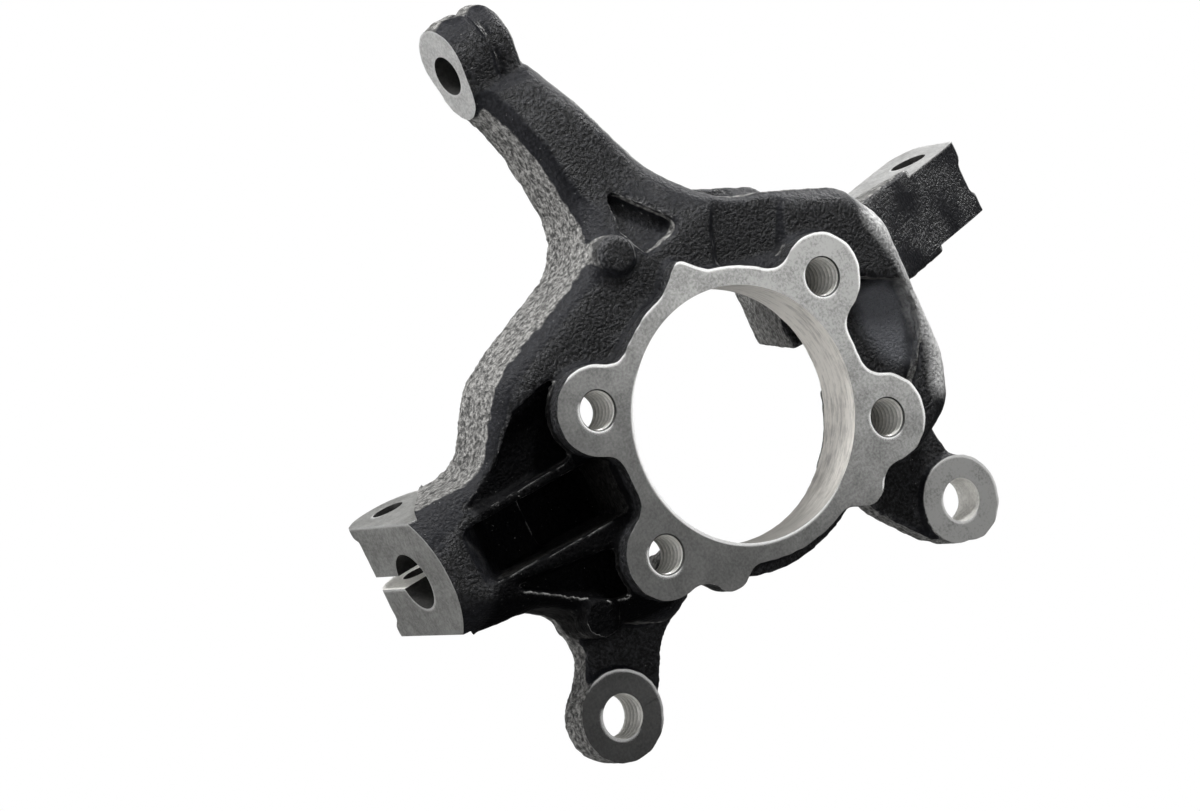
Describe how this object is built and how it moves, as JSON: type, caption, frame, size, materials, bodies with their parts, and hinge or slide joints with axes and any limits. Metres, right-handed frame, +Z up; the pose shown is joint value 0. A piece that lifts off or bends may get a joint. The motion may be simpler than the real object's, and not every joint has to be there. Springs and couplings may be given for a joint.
{
  "type": "steering knuckle",
  "caption": "Cast front steering knuckle with hub flange and bore, strut mount, steering arm, split ball-joint clamp and caliper ears.",
  "frame": {"origin": "centre of the hub bore on the machined flange face", "axes": "-Y points outboard along the hub axis towards the wheel, +Z is up, +X points to the caliper side"},
  "size_m": [0.2404, 0.0786, 0.2664],
  "materials": {
    "knuckle": "black coated sand casting, bare grey machined faces and bores"
  },
  "bodies": {
    "root": {"knuckle": "knuckle"}
  },
  "joints": []
}
